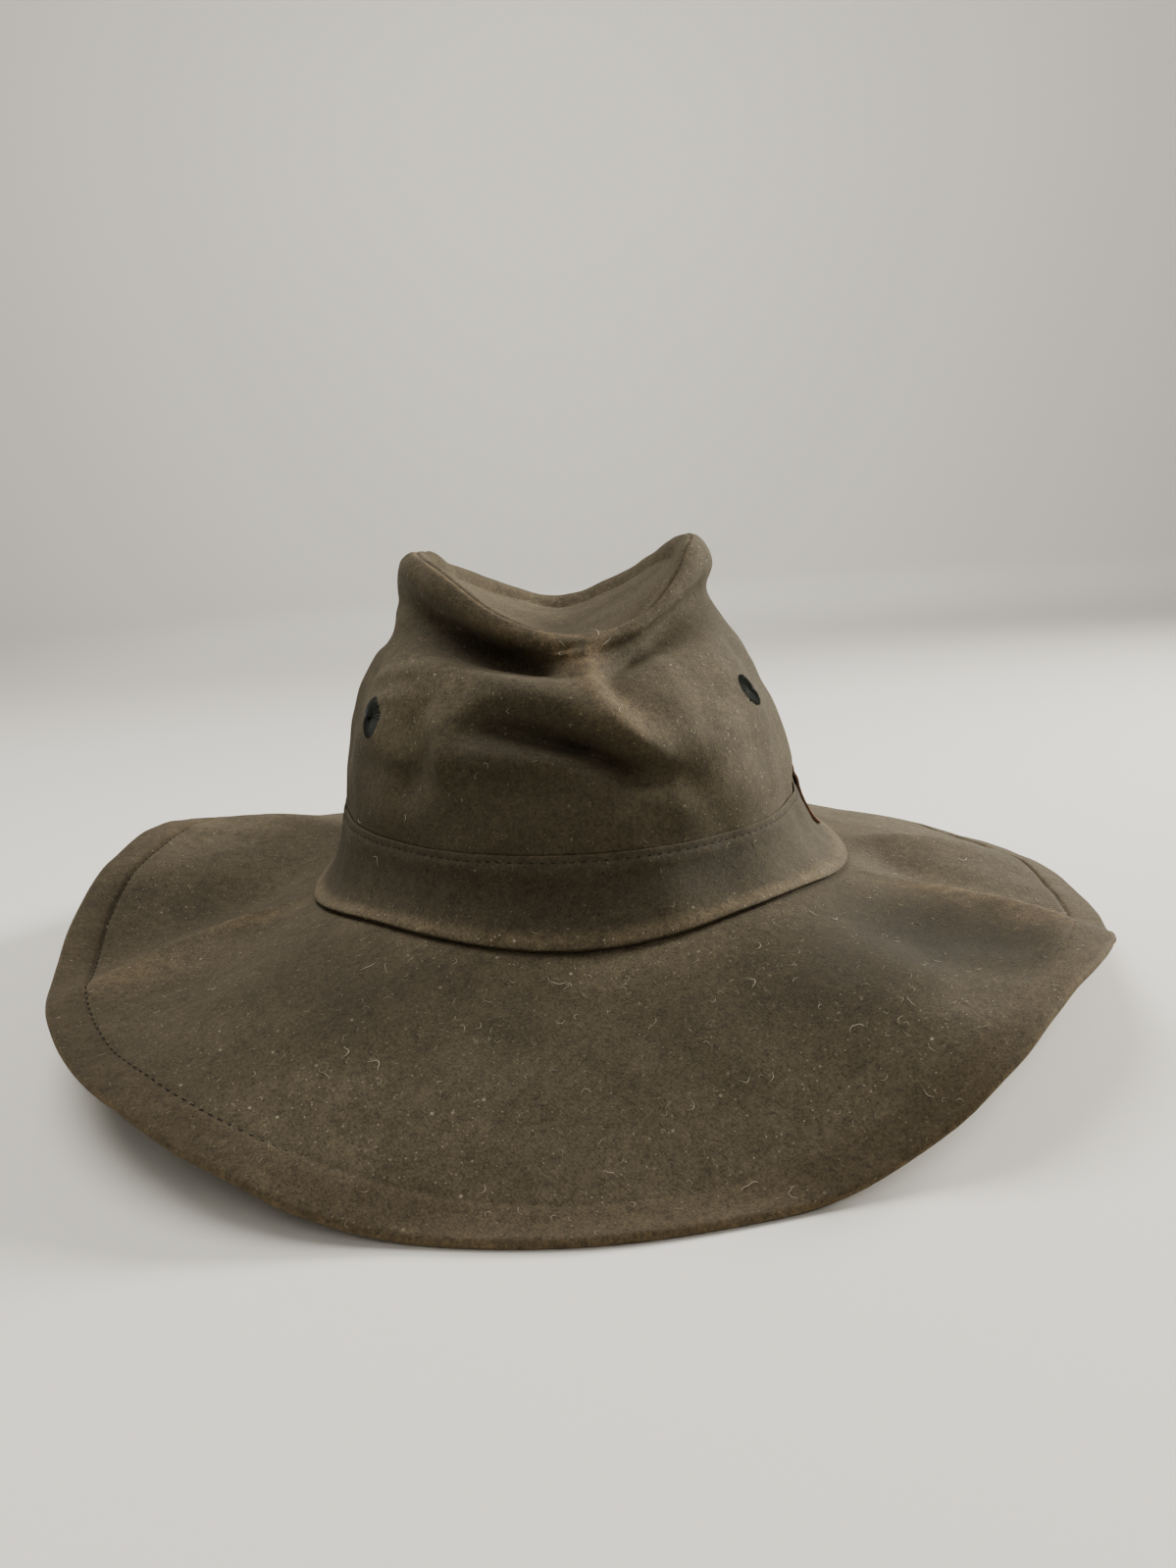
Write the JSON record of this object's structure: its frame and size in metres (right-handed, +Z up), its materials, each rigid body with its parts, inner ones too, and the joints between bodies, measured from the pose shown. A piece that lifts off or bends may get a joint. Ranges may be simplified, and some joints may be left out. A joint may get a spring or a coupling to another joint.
{
  "type": "bush hat",
  "caption": "Soft wide-brimmed bush hat of dark brown waxed cotton, with a creased crown, a hatband, sewn eyelets and a drooping brim.",
  "frame": {"origin": "on the surface that the hat lies on, under the middle of its footprint", "axes": "+Z up, -Y to the front of the hat, +X to the wearer's left"},
  "size_m": [0.3309, 0.3498, 0.137],
  "materials": {
    "waxed_cotton": "dusty dark olive-brown waxed cotton",
    "hem_cotton": "the same cloth, browner and worn at the edge",
    "band_cotton": "the same cloth, folded at its top edge",
    "eyelet_thread": "near-black satin-stitched thread",
    "patch_leather": "dark reddish-brown leather, blank"
  },
  "bodies": {
    "root": {"crown_wall_left": "waxed_cotton", "crown_wall_right": "waxed_cotton", "crown_lip_left": "waxed_cotton", "crown_lip_right": "waxed_cotton", "crown_tip": "waxed_cotton", "hatband": "band_cotton", "brim_left": "waxed_cotton", "brim_right": "waxed_cotton", "brim_hem_left": "hem_cotton", "brim_hem_right": "hem_cotton", "side_patch": "patch_leather", "eyelet_front_right": "eyelet_thread", "eyelet_front_left": "eyelet_thread", "eyelet_rear_right": "eyelet_thread", "eyelet_rear_left": "eyelet_thread"}
  },
  "joints": []
}
